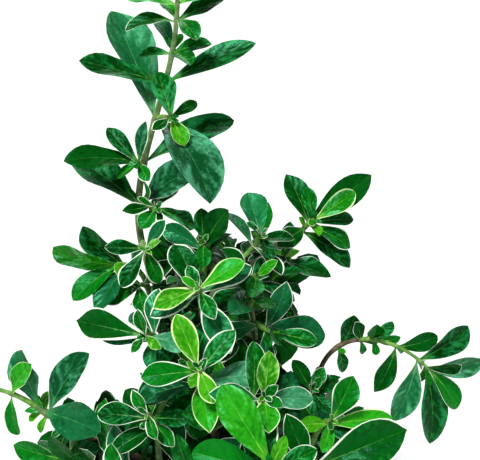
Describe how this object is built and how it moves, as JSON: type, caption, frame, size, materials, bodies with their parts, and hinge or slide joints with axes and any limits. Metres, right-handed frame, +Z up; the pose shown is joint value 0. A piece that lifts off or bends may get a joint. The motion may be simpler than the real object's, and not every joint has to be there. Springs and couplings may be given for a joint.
{
  "type": "young flowering shrub",
  "caption": "Young snow leaves serissa shrub, out of flower: a short leaning trunk, fanned boughs and leafy shoots, with one tall leading shoot.",
  "frame": {"origin": "centre of the flat cut under the trunk, at ground level", "axes": "+Z up, -Y towards the front that the picture shows, +X to the right"},
  "size_m": [0.1277, 0.132, 0.1859],
  "materials": {
    "bark": "matt grey-brown bark, greener on young shoots",
    "leaf": "leathery leaves, softly glossy above, with thin cream margins"
  },
  "bodies": {
    "root": {"trunk": "bark", "leader_bough": "bark", "crown_front_bough": "bark", "crown_right_bough": "bark", "right_high_bough": "bark", "right_arch_bough": "bark", "left_high_bough": "bark", "left_mid_bough": "bark", "left_low_bough": "bark", "front_left_bough": "bark", "front_mid_bough": "bark", "front_low_bough": "bark", "front_right_bough": "bark", "back_high_bough": "bark", "back_left_bough": "bark", "back_middle_bough": "bark", "back_right_bough": "bark", "low_left_bough": "bark", "low_right_bough": "bark", "low_front_left_bough": "bark", "low_front_right_bough": "bark", "low_back_left_bough": "bark", "low_back_right_bough": "bark", "leader": "leaf", "crown_front": "leaf", "crown_right": "leaf", "right_high": "leaf", "right_arch": "leaf", "left_high": "leaf", "left_mid": "leaf", "left_low": "leaf", "front_left": "leaf", "front_mid": "leaf", "front_low": "leaf", "front_right": "leaf", "back_high": "leaf", "back_left": "leaf", "back_middle": "leaf", "back_right": "leaf", "low_left": "leaf", "low_right": "leaf", "low_front_left": "leaf", "low_front_right": "leaf", "low_back_left": "leaf", "low_back_right": "leaf"}
  },
  "joints": []
}
